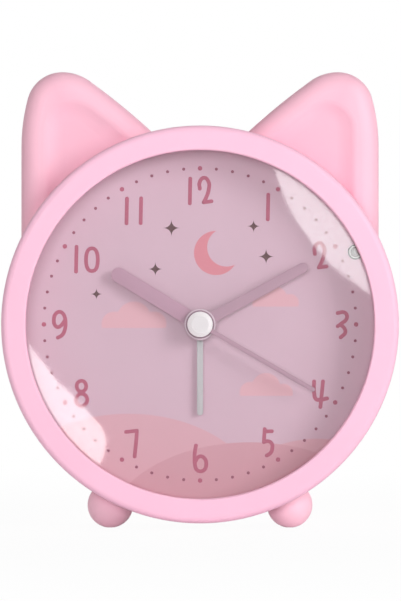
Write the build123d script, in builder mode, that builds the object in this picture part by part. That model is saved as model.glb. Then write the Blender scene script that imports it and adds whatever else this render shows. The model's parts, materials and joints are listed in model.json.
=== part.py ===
from build123d import *
import os
from math import acos, atan2, cos, degrees, pi, radians, sin, sqrt, tan

# A round bedside alarm clock with two ear shapes, a domed lens, four hands and a quartz movement.
# All sizes are in millimetres. X runs to the right, Z up, and the dial faces -Y.
# Depths are measured backwards from the front of the bezel, heights from the middle of the dial.
# The origin lies on the ground, under the middle of the clock.

# Bezel and lens
case_radius = 55.0
bezel_width = 6.8
bezel_depth = 10.0
bezel_lip = 2.2
bezel_skirt = 2.3
bezel_round = 1.8
opening_round = 0.4
lens_thickness = 1.6
lens_rise = 1.6

# Case halves
case_wall = 2.2
collar_wall = 2.1
floor_thickness = 1.8
body_step = 1.2
back_round = 8.0
front_boss_length = 6.2
fit_gap = 0.2
running_gap = 0.05
touch_gap = 0.03

# Ears, set out from the side of the body and from the tip
ear_side_inset = 3.6
ear_rise = 17.1
ear_tip_in = 11.5
ear_shoulder_in = 1.8
ear_shoulder_drop = 7.4
ear_side_drop = 20.9
ear_slope_in = 7.7
ear_slope_drop = 2.5
ear_root_turn = 11.0
ear_setback = 2.0
ear_rear_depth = 8.0
ear_round = 5.0
ear_back_round = 5.5
dish_inset = 5.8
dish_side_inset = 7.0
dish_corner = 8.0
dish_depth = 1.3
dish_taper = 66.0
dish_rim_round = 3.4
dish_floor_round = 9.0

# Feet
ground_gap = 2.0
foot_radius = 6.4
foot_flat = 0.12
foot_spread = 25.2
foot_margin = 0.6
peg_radius = 2.2
peg_proud = 1.4

# Dial and hands, with clock angles clockwise from twelve
dial_recess = 9.4
dial_thickness = 0.8
hand_gap = 1.0
hand_thickness = 0.5
pipe_proud = 0.2
hour_length = 28.6
hour_width = 4.2
hour_angle = 301.2
minute_length = 34.2
minute_width = 2.95
minute_angle = 61.2
second_length = 36.8
second_width = 1.25
second_angle = 120.0
alarm_length = 25.4
alarm_width = 1.7
alarm_angle = 180.0
hand_boss_radius = 4.47
second_boss_radius = 2.4
cap_radius = 3.55
cap_height = 2.2
cap_round = 1.0

# Night light lamp at the edge of the dial
lamp_inset = 2.4
lamp_angle = 25.0
lamp_radius = 1.5
lamp_dome = 1.35
lamp_barrel = 4.2
lamp_flange = 0.4
lamp_flange_thickness = 1.0
holder_wall = 0.55
holder_proud = 0.7

# Movement: plates, arbors and pipes
movement_half = 28.0
movement_corner = 3.0
movement_wall = 1.2
mid_plate_thickness = 0.8
wheel_thickness = 1.0
layer_gap = 0.4
pivot_depth = 0.6
arbor_radius = 0.6
pipe_wall = 0.6
bush_wall = 1.3
bush_proud = 0.4
post_radius = 1.6
stud_radius = 0.6
lug_length = 6.5
lug_width = 7.0
lug_thickness = 2.0

# Gear train: numbers of teeth and distances between axes
pressure_angle = 25.0
addendum = 0.8
dedendum = 1.1
backlash = 0.12
rotor_teeth = 10
fifth_teeth = 60
fifth_pinion_teeth = 12
second_teeth = 60
second_pinion_teeth = 10
third_teeth = 75
third_pinion_teeth = 10
centre_teeth = 80
cannon_teeth = 12
minute_teeth = 36
minute_pinion_teeth = 10
hour_teeth = 40
alarm_teeth = 48
knob_pinion_teeth = 16
motion_distance = 7.5
third_distance = 9.5
fifth_distance = 9.8
rotor_distance = 7.0

# Stepping motor and circuit board
rotor_radius = 3.0
rotor_length = 2.0
rotor_air = 0.3
stator_thickness = 0.8
stator_half_width = 12.5
stator_edge = 1.1
stator_body_height = 8.0
stator_arm_width = 3.5
stator_arm_length = 4.4
core_width = 2.4
bobbin_half = 8.4
bobbin_flange = 0.8
bobbin_tube = 1.7
coil_radius = 2.6
board_thickness = 1.2
board_height = 6.6
board_edge_gap = 0.5
chip_size = 5.0
chip_height = 1.2
chip_offset = 9.0
crystal_radius = 1.0
crystal_length = 6.0
crystal_offset = 9.0
board_post_spread = 20.0

# Battery bay and door
battery_radius = 7.25
battery_length = 50.5
nub_radius = 2.75
nub_length = 1.0
battery_gap = 0.3
contact_room = 1.15
contact_thickness = 0.4
contact_width = 10.0
contact_height = 11.0
contact_gap = 0.1
tail_width = 3.0
bay_wall = 1.2
door_margin = 0.06
stack_gap = 0.6
door_thickness = 1.6
door_overlap = 1.9
door_corner = 2.0
thumb_length = 12.0
thumb_width = 3.0
thumb_depth = 0.8
thumb_inset = 4.5

# Knobs, switch and button
shaft_radius = 1.5
knob_gap = 0.6
knob_length = 3.6
knob_socket = 2.6
knob_edge = 0.6
knob_flutes = 20
flute_radius = 0.7
time_knob_radius = 7.0
alarm_knob_radius = 6.0
switch_across = 24.0
switch_rise = 14.0
switch_travel = 4.0
switch_length = 11.0
switch_height = 6.0
switch_depth = 4.9
slider_stem = 2.6
slider_foot = 4.0
slider_foot_depth = 0.7
slider_height = 3.0
slider_proud = 1.5
snooze_setback = 9.0
snooze_half_width = 8.0
snooze_half_depth = 4.7
snooze_corner = 3.0
snooze_proud = 1.4
snooze_round = 1.0
snooze_flange = 1.3
snooze_flange_height = 1.0
snooze_travel = 0.6
light_board_drop = 5.0
light_board_half_width = 17.0
light_board_reach = 6.0
light_shelf_depth = 12.0
light_shelf_thickness = 1.2
tact_size = 6.0
tact_height = 1.8
plunger_radius = 1.5
plunger_height = 0.9
plunger_depth = 0.7

# Buzzer and leads
buzzer_drop = 5.2
buzzer_radius = 11.0
buzzer_height = 5.0
sound_slots = 5
slot_width = 1.6
slot_pitch = 3.0
slot_length = 15.0
lead_radius = 0.6
lead_inset = 2.4
lead_bend = 4.0
lead_sweep = 13.0
lead_overlap = 4.0
lead_pair = 2.4

# Screws
screw_across = 33.0
screw_rise = 30.5
screw_boss_radius = 3.2
screw_radius = 1.3
screw_seat = 3.0
screw_bite = 5.2
screw_head_radius = 2.4
screw_head_height = 2.0
movement_screw_radius = 1.1
movement_screw_bite = 3.4
movement_head_radius = 2.0
movement_head_height = 1.5
slot_cut_width = 0.7
slot_cut_depth = 0.8

# Radii that follow
opening_radius = case_radius - bezel_width
skirt_radius = case_radius - bezel_skirt
collar_radius = skirt_radius - fit_gap
collar_bore = collar_radius - collar_wall
body_radius = case_radius - body_step
body_bore = body_radius - case_wall
flat_radius = body_radius - back_round
lens_radius = skirt_radius - fit_gap
dial_radius = collar_bore - fit_gap
minute_bore = arbor_radius + running_gap
minute_pipe = minute_bore + pipe_wall
hour_bore = minute_pipe + running_gap
hour_pipe = hour_bore + pipe_wall
alarm_bore = hour_pipe + running_gap
alarm_pipe = alarm_bore + pipe_wall
bush_bore = alarm_pipe + running_gap
bush_radius = bush_bore + bush_wall
holder_radius = lamp_radius + touch_gap + holder_wall
lamp_ring = collar_bore - lamp_inset
lead_ring = body_bore - lead_inset

# Depths that follow, from the front to the back
lens_back = bezel_lip + lens_thickness
dial_front = lens_back + dial_recess
floor_front = dial_front + dial_thickness
floor_back = floor_front + floor_thickness
parting_depth = floor_back + front_boss_length
ear_front = bezel_depth + ear_setback
alarm_hand_front = dial_front - bush_proud - hand_gap - hand_thickness
hour_hand_front = alarm_hand_front - hand_gap - hand_thickness
minute_hand_front = hour_hand_front - hand_gap - hand_thickness
second_hand_front = minute_hand_front - hand_gap - hand_thickness
alarm_layer = floor_back + movement_wall + layer_gap
mid_plate_front = alarm_layer + wheel_thickness + layer_gap
mid_plate_back = mid_plate_front + mid_plate_thickness
hour_layer = mid_plate_back + layer_gap
minute_layer = hour_layer + wheel_thickness + layer_gap
centre_layer = minute_layer + wheel_thickness + layer_gap
third_layer = centre_layer + wheel_thickness + layer_gap
second_layer = third_layer + wheel_thickness + layer_gap
cover_front = second_layer + wheel_thickness + layer_gap + pivot_depth
movement_back = cover_front + movement_wall
movement_split = minute_layer
bay_floor_front = movement_back + stack_gap
bay_floor_back = bay_floor_front + bay_wall
battery_depth = bay_floor_back + battery_gap + battery_radius
door_front = battery_depth + battery_radius + battery_gap
body_back = door_front + door_thickness
panel_front = body_back - case_wall
rounding_front = body_back - back_round
knob_front = body_back + knob_gap
knob_back = knob_front + knob_length
front_foot_depth = bezel_depth + foot_radius + foot_margin
rear_foot_depth = rounding_front - foot_margin
snooze_depth = parting_depth + snooze_setback
front_y = -knob_back / 2
centre_height = case_radius + ground_gap
foot_rise = foot_radius - foot_flat - centre_height
peg_top = peg_proud - sqrt(body_bore**2 - foot_spread**2)

# Places inside the case that follow
inner_half = movement_half - movement_wall
inner_corner = movement_corner - movement_wall
board_half_width = inner_half - board_edge_gap
board_rise = -inner_half + board_edge_gap + board_height / 2 + layer_gap
board_top = body_bore - light_board_drop
shelf_rise = board_top - board_thickness - light_shelf_thickness / 2
buzzer_rise = shelf_rise - light_shelf_thickness / 2 - buzzer_drop - buzzer_radius
bay_half_length = battery_length / 2 + contact_room
bay_half_height = battery_radius + battery_gap
door_half_length = bay_half_length + door_overlap
door_half_height = bay_half_height + door_overlap
bay_drop = sqrt(flat_radius**2 - door_half_length**2) - door_half_height - door_margin
tail_across = bay_half_length - contact_thickness / 2
tail_rise = -bay_drop + (contact_width - tail_width) / 2
tail_slot = (contact_thickness + 2 * fit_gap, tail_width + 2 * fit_gap)
board_tail_across = board_half_width - contact_thickness / 2

# Gear sizes and places that follow
hour_module = 2 * motion_distance / (hour_teeth + minute_pinion_teeth)
minute_module = 2 * motion_distance / (minute_teeth + cannon_teeth)
centre_module = 2 * third_distance / (centre_teeth + third_pinion_teeth)
third_module = 2 * third_distance / (third_teeth + second_pinion_teeth)
second_module = 2 * fifth_distance / (second_teeth + fifth_pinion_teeth)
rotor_module = 2 * rotor_distance / (fifth_teeth + rotor_teeth)
knob_across = motion_distance + minute_module * (minute_teeth + knob_pinion_teeth) / 2
alarm_module = 2 * knob_across / (alarm_teeth + knob_pinion_teeth)
rotor_rise = fifth_distance + rotor_distance


def facing(depth, across=0.0, rise=0.0):
    return Plane(origin=(across, front_y + depth, centre_height + rise), x_dir=(1, 0, 0), z_dir=(0, -1, 0))


def level(rise, depth=0.0, across=0.0):
    return Plane(origin=(across, front_y + depth, centre_height + rise), x_dir=(1, 0, 0), z_dir=(0, 0, 1))


def axis_at(across=0.0, rise=0.0):
    return Axis((across, front_y, centre_height + rise), (0, 1, 0))


def rod(radius, front, back, across=0.0, rise=0.0, mode=Mode.ADD):
    with Locations(facing(front, across, rise)):
        Cylinder(radius, back - front, align=(Align.CENTER, Align.CENTER, Align.MAX), mode=mode)


def block(width, height, front, back, across=0.0, rise=0.0, mode=Mode.ADD):
    with Locations(facing(front, across, rise)):
        Box(width, height, back - front, align=(Align.CENTER, Align.CENTER, Align.MAX), mode=mode)


def rounded_block(width, height, corner, front, back, across=0.0, rise=0.0, mode=Mode.ADD):
    with BuildSketch(facing(front, across, rise)) as outline:
        RectangleRounded(width, height, corner)
    extrude(outline.sketch, amount=front - back, mode=mode)


def peg_hole(depth, across):
    with Locations(level(foot_rise, depth, across)):
        hole_align = (Align.CENTER, Align.CENTER, Align.MIN)
        Cylinder(peg_radius + running_gap, peg_top - foot_rise, align=hole_align, mode=Mode.SUBTRACT)


def body_profile():
    # Half outline of the closed body, as radius and depth, for turning about the clock's axis.
    with BuildSketch() as outline:
        with BuildLine():
            Polyline((0, body_back), (0, 0), (body_radius, 0), (body_radius, rounding_front))
            RadiusArc((body_radius, rounding_front), (flat_radius, body_back), -back_round)
            Line((flat_radius, body_back), (0, body_back))
        make_face()
    return outline.sketch


def gear_points(teeth, module, phase):
    # Involute teeth in straight steps, the first one centred on the phase angle.
    pitch_radius = teeth * module / 2
    base_radius = pitch_radius * cos(radians(pressure_angle))
    tip_radius = pitch_radius + addendum * module
    root_radius = pitch_radius - dedendum * module
    half_tooth = (pi * module - backlash) / (4 * pitch_radius)
    involute_at_pitch = tan(radians(pressure_angle)) - radians(pressure_angle)
    flank_radii = [max(base_radius, root_radius), pitch_radius, tip_radius]
    flank = [(root_radius, None)]
    for radius in flank_radii:
        roll = acos(base_radius / radius)
        flank.append((radius, half_tooth + involute_at_pitch - (tan(roll) - roll)))
    flank[0] = (root_radius, flank[1][1])
    if root_radius >= base_radius:
        flank.pop(0)
    points = []
    for tooth in range(teeth):
        middle = radians(phase) + tooth * 2 * pi / teeth
        for radius, half_angle in flank:
            points.append((radius * cos(middle - half_angle), radius * sin(middle - half_angle)))
        for radius, half_angle in reversed(flank):
            points.append((radius * cos(middle + half_angle), radius * sin(middle + half_angle)))
    return points


def gear(teeth, module, front, across=0.0, rise=0.0, phase=0.0):
    with BuildSketch(facing(front, across, rise)) as outline:
        with BuildLine():
            Polyline(*gear_points(teeth, module, phase), close=True)
        make_face()
    extrude(outline.sketch, amount=-wheel_thickness)


def meshing_phase(driver_teeth, driver_phase, follower_teeth, direction):
    # Phase that puts a gap of the follower on each tooth of the driver, along the line between the axes.
    driver_pitch = 360 / driver_teeth
    follower_pitch = 360 / follower_teeth
    pitches_ahead = (driver_phase - direction) / driver_pitch
    return direction + 180 - pitches_ahead * follower_pitch + follower_pitch / 2


def ear_outline(side):
    ear_side = body_radius - ear_side_inset
    tip_rise = body_radius + ear_rise
    tip_across = ear_side - ear_tip_in
    side_top = (side * ear_side, tip_rise - ear_side_drop)
    shoulder = (side * (ear_side - ear_shoulder_in), tip_rise - ear_shoulder_drop)
    tip = (side * tip_across, tip_rise)
    slope_start = (side * (tip_across - ear_slope_in), tip_rise - ear_slope_drop)
    root_turn = radians(ear_root_turn)
    root = (side * body_bore * sin(root_turn), body_bore * cos(root_turn))
    side_foot = (side * ear_side, 0.0)
    with BuildSketch() as outline:
        with BuildLine():
            upright = Line(side_foot, side_top)
            lower_arc = TangentArc(side_top, shoulder, tangent=upright % 1)
            outer_arc = TangentArc(shoulder, tip, tangent=lower_arc % 1)
            inner_arc = TangentArc(tip, slope_start, tangent=outer_arc % 1)
            TangentArc(slope_start, root, tangent=inner_arc % 1)
            Polyline(root, (root[0], 0.0), side_foot)
        make_face()
    return outline.sketch


def write(part, name):
    part.label = name
    export_step(part, "parts/" + name + ".step")


os.makedirs("parts", exist_ok=True)

# Bezel: a wide flat ring with a skirt that slides over the collar
with BuildPart() as bezel:
    with BuildSketch(level(0)):
        with BuildLine():
            Polyline(
                (opening_radius, 0),
                (case_radius, 0),
                (case_radius, bezel_depth),
                (skirt_radius, bezel_depth),
                (skirt_radius, bezel_lip),
                (opening_radius, bezel_lip),
                close=True,
            )
        make_face()
    revolve(axis=axis_at())
    front_edges = bezel.edges().group_by(Axis.Y)[0].sort_by(SortBy.RADIUS)
    fillet(front_edges[-1], radius=bezel_round)
    fillet(front_edges[0], radius=opening_round)
write(bezel.part, "bezel")

# Lens: a flat rim held between the bezel and the collar, and a shallow dome
dome_edge = opening_radius - fit_gap
with BuildPart() as lens:
    with BuildSketch(level(0)):
        with BuildLine():
            Line((0, bezel_lip - lens_rise), (0, lens_back - lens_rise))
            TangentArc((0, lens_back - lens_rise), (dome_edge, lens_back), tangent=(1, 0))
            Polyline(
                (dome_edge, lens_back),
                (lens_radius, lens_back),
                (lens_radius, bezel_lip),
                (dome_edge, bezel_lip),
            )
            TangentArc((0, bezel_lip - lens_rise), (dome_edge, bezel_lip), tangent=(1, 0))
        make_face()
    revolve(axis=axis_at())
write(lens.part, "lens")

# Front case half: collar, dial floor, tub wall and the front halves of the ears
lamp_across = lamp_ring * cos(radians(lamp_angle))
lamp_rise = lamp_ring * sin(radians(lamp_angle))
lug_across = movement_half + lug_length / 2
with BuildPart() as front_case:
    for side in (-1, 1):
        with BuildSketch(facing(ear_front)):
            add(ear_outline(side))
        extrude(amount=ear_front - parting_depth)
    fillet(front_case.edges().group_by(Axis.Y)[0], radius=ear_round)
    for side in (-1, 1):
        with BuildSketch(facing(ear_front)):
            add(ear_outline(side))
            offset(amount=-dish_inset - dish_corner, mode=Mode.REPLACE)
            with Locations((side * (body_radius - ear_side_inset), 0)):
                Rectangle(2 * (dish_side_inset + dish_corner), 3 * case_radius, mode=Mode.SUBTRACT)
            offset(amount=dish_corner, mode=Mode.REPLACE)
        extrude(amount=-dish_depth, taper=dish_taper, mode=Mode.SUBTRACT)
    flat_faces = front_case.faces().filter_by(Plane.XZ).group_by(Axis.Y)
    rim_edges = [edge for land in flat_faces[0] for wire in land.inner_wires() for edge in wire.edges()]
    floor_edges = flat_faces[1].edges()
    fillet(rim_edges, radius=dish_rim_round)
    fillet(floor_edges, radius=dish_floor_round)
    for side in (-1, 1):
        with BuildSketch(facing(parting_depth)):
            add(ear_outline(side))
            offset(amount=-case_wall, mode=Mode.REPLACE)
        extrude(amount=parting_depth - ear_front - dish_depth - case_wall, mode=Mode.SUBTRACT)
    rod(body_radius - case_wall / 2, 0, parting_depth, mode=Mode.SUBTRACT)
    with BuildSketch(level(0)):
        with BuildLine():
            Polyline(
                (collar_bore, lens_back),
                (collar_radius, lens_back),
                (collar_radius, bezel_depth),
                (body_radius, bezel_depth),
                (body_radius, parting_depth),
                (body_bore, parting_depth),
                (body_bore, floor_back),
                (bush_radius + fit_gap, floor_back),
                (bush_radius + fit_gap, floor_front),
                (collar_bore, floor_front),
                close=True,
            )
        make_face()
    revolve(axis=axis_at())
    for across in (-screw_across, screw_across):
        for rise in (-screw_rise, screw_rise):
            rod(screw_boss_radius, floor_back, parting_depth, across, rise)
            pilot_front = parting_depth - screw_bite - running_gap
            rod(screw_radius + running_gap, pilot_front, parting_depth, across, rise, Mode.SUBTRACT)
    for side in (-1, 1):
        lug_front = movement_split - lug_thickness
        rod(lug_length / 2 - fit_gap, floor_back, lug_front, side * lug_across)
        pilot_front = lug_front - movement_screw_bite - running_gap
        pilot_radius = movement_screw_radius + running_gap
        rod(pilot_radius, pilot_front, lug_front, side * lug_across, 0, Mode.SUBTRACT)
        peg_hole(front_foot_depth, side * foot_spread)
    rod(holder_radius + running_gap, floor_front, floor_back, lamp_across, lamp_rise, Mode.SUBTRACT)
write(front_case.part, "front_case")

# Rear case half: cup, rear halves of the ears, screw posts, battery bay and the holes for the controls
slot_length_x = slider_stem + switch_travel + 2 * fit_gap
with BuildPart() as rear_case:
    for side in (-1, 1):
        with BuildSketch(facing(parting_depth)):
            add(ear_outline(side))
        extrude(amount=-ear_rear_depth)
    fillet(rear_case.edges().group_by(Axis.Y)[-1], radius=ear_back_round)
    for side in (-1, 1):
        with BuildSketch(facing(parting_depth)):
            add(ear_outline(side))
            offset(amount=-case_wall, mode=Mode.REPLACE)
        extrude(amount=case_wall - ear_rear_depth, mode=Mode.SUBTRACT)
    rod(body_radius - case_wall / 2, parting_depth, parting_depth + ear_rear_depth, mode=Mode.SUBTRACT)
    with BuildSketch(level(0)):
        with BuildLine():
            Line((0, body_back), (flat_radius, body_back))
            RadiusArc((flat_radius, body_back), (body_radius, rounding_front), back_round)
            Polyline(
                (body_radius, rounding_front),
                (body_radius, parting_depth),
                (body_bore, parting_depth),
                (body_bore, rounding_front),
            )
            RadiusArc((body_bore, rounding_front), (flat_radius, panel_front), case_wall - back_round)
            Polyline((flat_radius, panel_front), (0, panel_front), (0, body_back))
        make_face()
    revolve(axis=axis_at())
    for across in (-screw_across, screw_across):
        for rise in (-screw_rise, screw_rise):
            rod(screw_boss_radius, parting_depth, panel_front, across, rise)
            seat = parting_depth + screw_seat
            rod(screw_radius + fit_gap, parting_depth, seat, across, rise, Mode.SUBTRACT)
            rod(screw_head_radius + fit_gap, seat, body_back, across, rise, Mode.SUBTRACT)
    bay_length = 2 * (bay_half_length + bay_wall)
    bay_height = 2 * (bay_half_height + bay_wall)
    block(bay_length, bay_height, bay_floor_front, panel_front, 0, -bay_drop)
    block(2 * bay_half_length, 2 * bay_half_height, bay_floor_back, body_back, 0, -bay_drop, Mode.SUBTRACT)
    rounded_block(
        2 * (door_half_length + fit_gap),
        2 * (door_half_height + fit_gap),
        door_corner,
        door_front,
        body_back,
        0,
        -bay_drop,
        Mode.SUBTRACT,
    )
    for side in (-1, 1):
        slot_place = (side * tail_across, tail_rise)
        block(*tail_slot, bay_floor_front, bay_floor_back, *slot_place, Mode.SUBTRACT)
        rod(shaft_radius + fit_gap, panel_front, body_back, side * knob_across, 0, Mode.SUBTRACT)
        peg_hole(rear_foot_depth, side * foot_spread)
    with BuildSketch(facing(panel_front, 0, buzzer_rise)):
        with GridLocations(slot_length, slot_pitch, 1, sound_slots):
            SlotOverall(slot_length, slot_width)
    extrude(amount=panel_front - body_back, mode=Mode.SUBTRACT)
    block(slot_length_x, slider_stem, panel_front, body_back, switch_across, switch_rise, Mode.SUBTRACT)
    shelf_front = panel_front - light_shelf_depth
    block(2 * light_board_half_width, light_shelf_thickness, shelf_front, panel_front, 0, shelf_rise)
    with BuildSketch(level(board_top, snooze_depth)):
        hole_width = 2 * (snooze_half_width + fit_gap)
        RectangleRounded(hole_width, 2 * (snooze_half_depth + fit_gap), snooze_corner)
    extrude(amount=body_radius, mode=Mode.SUBTRACT)
write(rear_case.part, "rear_case")

# Feet: balls with a flat under each, seated on the body by a peg
for place, depth in (("front", front_foot_depth), ("rear", rear_foot_depth)):
    for hand, side in (("left", -1), ("right", 1)):
        with BuildPart() as foot:
            with Locations(level(foot_rise, depth, side * foot_spread)):
                Sphere(foot_radius)
            with BuildSketch(level(-centre_height, depth, side * foot_spread)):
                Rectangle(2 * foot_radius, 2 * foot_radius)
            extrude(amount=-foot_radius, mode=Mode.SUBTRACT)
            with BuildSketch(level(0)):
                add(body_profile())
            revolve(axis=axis_at(), mode=Mode.SUBTRACT)
            with BuildSketch(level(foot_rise, depth, side * foot_spread)):
                Circle(peg_radius)
            extrude(amount=peg_top - foot_rise)
        write(foot.part, "foot_" + place + "_" + hand)

# Dial card on the floor
with BuildPart() as dial:
    rod(dial_radius, dial_front, floor_front)
    rod(bush_radius + fit_gap, dial_front, floor_front, mode=Mode.SUBTRACT)
    rod(holder_radius + running_gap, dial_front, floor_front, lamp_across, lamp_rise, Mode.SUBTRACT)
write(dial.part, "dial")

# Hands: flat strips with a round boss on the end of a pipe or arbor
hand_strips = {
    "hour_hand": (hour_angle, hour_length, hour_width),
    "minute_hand": (minute_angle, minute_length, minute_width),
    "second_hand": (second_angle, second_length, second_width),
    "alarm_hand": (alarm_angle, alarm_length, alarm_width),
}
hand_bosses = {
    "hour_hand": (hour_hand_front, hand_boss_radius, hour_pipe),
    "minute_hand": (minute_hand_front, hand_boss_radius, minute_pipe),
    "second_hand": (second_hand_front, second_boss_radius, arbor_radius),
    "alarm_hand": (alarm_hand_front, hand_boss_radius, alarm_pipe),
}
for name, (angle, length, width) in hand_strips.items():
    front, boss, pipe = hand_bosses[name]
    with BuildPart() as hand:
        with BuildSketch(facing(front)):
            with PolarLocations(length / 2, 1, start_angle=90 - angle):
                SlotOverall(length, width)
            Circle(boss)
            Circle(pipe + touch_gap, mode=Mode.SUBTRACT)
        extrude(amount=-hand_thickness)
    write(hand.part, name)

# Hub cap on the second hand
with BuildPart() as hub_cap:
    rod(cap_radius, second_hand_front - cap_height, second_hand_front)
    fillet(hub_cap.edges().group_by(Axis.Y)[0], radius=cap_round)
    socket_front = second_hand_front - pipe_proud - touch_gap
    rod(arbor_radius + touch_gap, socket_front, second_hand_front, mode=Mode.SUBTRACT)
write(hub_cap.part, "hub_cap")

# Night light lamp and the holder that lines its hole
lamp_tip = floor_back - lamp_barrel
with BuildPart() as night_light_lamp:
    rod(lamp_radius, lamp_tip, floor_back + lamp_flange_thickness, lamp_across, lamp_rise)
    fillet(night_light_lamp.edges().group_by(Axis.Y)[0], radius=lamp_dome)
    lamp_back = floor_back + lamp_flange_thickness
    rod(holder_radius + lamp_flange, floor_back, lamp_back, lamp_across, lamp_rise)
write(night_light_lamp.part, "night_light_lamp")

with BuildPart() as lamp_holder:
    holder_front = dial_front - holder_proud
    rod(holder_radius, holder_front, floor_back, lamp_across, lamp_rise)
    rod(lamp_radius + touch_gap, holder_front, floor_back, lamp_across, lamp_rise, Mode.SUBTRACT)
write(lamp_holder.part, "lamp_holder")

# Movement front tray with the bush that the hands' pipes turn in
outer_square = (2 * movement_half, 2 * movement_half, movement_corner)
inner_square = (2 * inner_half, 2 * inner_half, inner_corner)
post_place = inner_half - post_radius - movement_wall
with BuildPart() as movement_tray:
    rounded_block(*outer_square, floor_back, movement_split)
    tray_floor = floor_back + movement_wall
    rounded_block(*inner_square, tray_floor, movement_split, mode=Mode.SUBTRACT)
    for across in (-post_place, post_place):
        for rise in (-post_place, post_place):
            rod(post_radius, tray_floor, mid_plate_front, across, rise)
    for side in (-1, 1):
        lug_front = movement_split - lug_thickness
        block(lug_length, lug_width, lug_front, movement_split, side * lug_across)
        rod(movement_screw_radius + fit_gap, lug_front, movement_split, side * lug_across, 0, Mode.SUBTRACT)
    rod(bush_radius, dial_front - bush_proud, tray_floor)
    rod(bush_bore, dial_front - bush_proud, tray_floor, mode=Mode.SUBTRACT)
    pivot_front = floor_back + movement_wall / 2
    rod(shaft_radius + running_gap, pivot_front, tray_floor, -knob_across, 0, Mode.SUBTRACT)
write(movement_tray.part, "movement_tray")

# Middle plate with the pivot holes, the minute wheel's stud and the posts of the stator and board
stator_front = minute_layer + wheel_thickness
wire_depth = stator_front + board_thickness / 2
arm_across = stator_half_width - stator_arm_width / 2
stator_foot = rotor_rise - rotor_radius - rotor_air - stator_edge
with BuildPart() as movement_plate:
    plate_half = inner_half - fit_gap
    rounded_block(2 * plate_half, 2 * plate_half, inner_corner, mid_plate_front, mid_plate_back)
    rod(hour_pipe + running_gap, mid_plate_front, mid_plate_back, mode=Mode.SUBTRACT)
    for rise in (-third_distance, fifth_distance, rotor_rise):
        rod(arbor_radius + running_gap, mid_plate_front, mid_plate_back, 0, rise, Mode.SUBTRACT)
    for side in (-1, 1):
        shaft_hole = shaft_radius + running_gap
        rod(shaft_hole, mid_plate_front, mid_plate_back, side * knob_across, 0, Mode.SUBTRACT)
        rod(post_radius, mid_plate_back, stator_front, side * board_post_spread, board_rise)
        rod(post_radius, mid_plate_back, stator_front, side * arm_across, stator_foot + stator_arm_width)
    rod(stud_radius, mid_plate_back, minute_layer + wheel_thickness + layer_gap / 2, motion_distance)
write(movement_plate.part, "movement_plate")

# Movement cover with blind pivot holes, shaft holes and slots for the battery contacts
with BuildPart() as movement_cover:
    rounded_block(*outer_square, movement_split, movement_back)
    rounded_block(*inner_square, movement_split, cover_front, mode=Mode.SUBTRACT)
    for rise in (0, -third_distance, fifth_distance, rotor_rise):
        pivot_hole = arbor_radius + running_gap
        rod(pivot_hole, cover_front, cover_front + pivot_depth + running_gap, 0, rise, Mode.SUBTRACT)
    for side in (-1, 1):
        rod(shaft_radius + running_gap, cover_front, movement_back, side * knob_across, 0, Mode.SUBTRACT)
        slot_place = (side * board_tail_across, board_rise)
        block(*tail_slot, cover_front, movement_back, *slot_place, Mode.SUBTRACT)
    wire_hole = level(board_rise, wire_depth, movement_wall / 2 - movement_half).origin
    with Locations(Plane(wire_hole, z_dir=(1, 0, 0))):
        Cylinder(lead_radius + running_gap, 2 * movement_wall, mode=Mode.SUBTRACT)
write(movement_cover.part, "movement_cover")

# Wheels, each with its pinion or pipe, in phase with the wheel that drives it
third_phase = meshing_phase(second_pinion_teeth, 0, third_teeth, -90)
third_pinion_phase = 0.0
centre_phase = meshing_phase(third_pinion_teeth, third_pinion_phase, centre_teeth, 90)
fifth_pinion_phase = meshing_phase(second_teeth, 0, fifth_pinion_teeth, 90)
rotor_phase = meshing_phase(fifth_teeth, 0, rotor_teeth, 90)
minute_phase = meshing_phase(cannon_teeth, 0, minute_teeth, 0)
knob_phase = meshing_phase(minute_teeth, minute_phase, knob_pinion_teeth, 0)
hour_phase = meshing_phase(minute_pinion_teeth, 0, hour_teeth, 180)
alarm_knob_phase = meshing_phase(alarm_teeth, 0, knob_pinion_teeth, 180)
pivot_end = cover_front + pivot_depth

with BuildPart() as second_wheel:
    gear(second_teeth, second_module, second_layer)
    gear(second_pinion_teeth, third_module, third_layer)
    rod(arbor_radius, second_hand_front - pipe_proud, pivot_end)
write(second_wheel.part, "second_wheel")

with BuildPart() as third_wheel:
    gear(third_teeth, third_module, third_layer, 0, -third_distance, third_phase)
    gear(third_pinion_teeth, centre_module, centre_layer, 0, -third_distance, third_pinion_phase)
    rod(arbor_radius, mid_plate_front, pivot_end, 0, -third_distance)
write(third_wheel.part, "third_wheel")

with BuildPart() as centre_wheel:
    gear(centre_teeth, centre_module, centre_layer, phase=centre_phase)
    rod(minute_pipe + running_gap, centre_layer, centre_layer + wheel_thickness, mode=Mode.SUBTRACT)
write(centre_wheel.part, "centre_wheel")

with BuildPart() as fifth_wheel:
    gear(fifth_teeth, rotor_module, third_layer, 0, fifth_distance)
    gear(fifth_pinion_teeth, second_module, second_layer, 0, fifth_distance, fifth_pinion_phase)
    rod(arbor_radius, mid_plate_front, pivot_end, 0, fifth_distance)
write(fifth_wheel.part, "fifth_wheel")

rotor_middle = stator_front + stator_thickness / 2
rotor_front = rotor_middle - rotor_length / 2
with BuildPart() as rotor_pinion:
    gear(rotor_teeth, rotor_module, third_layer, 0, rotor_rise, rotor_phase)
    rod(arbor_radius, mid_plate_front, pivot_end, 0, rotor_rise)
write(rotor_pinion.part, "rotor_pinion")

with BuildPart() as rotor_magnet:
    rod(rotor_radius, rotor_front, rotor_front + rotor_length, 0, rotor_rise)
    rod(arbor_radius + touch_gap, rotor_front, rotor_front + rotor_length, 0, rotor_rise, Mode.SUBTRACT)
write(rotor_magnet.part, "rotor_magnet")

with BuildPart() as minute_pipe_arbor:
    gear(cannon_teeth, minute_module, minute_layer)
    rod(minute_pipe, minute_hand_front - pipe_proud, centre_layer + wheel_thickness)
    rod(minute_bore, minute_hand_front - pipe_proud, centre_layer + wheel_thickness, mode=Mode.SUBTRACT)
write(minute_pipe_arbor.part, "minute_pipe")

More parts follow.
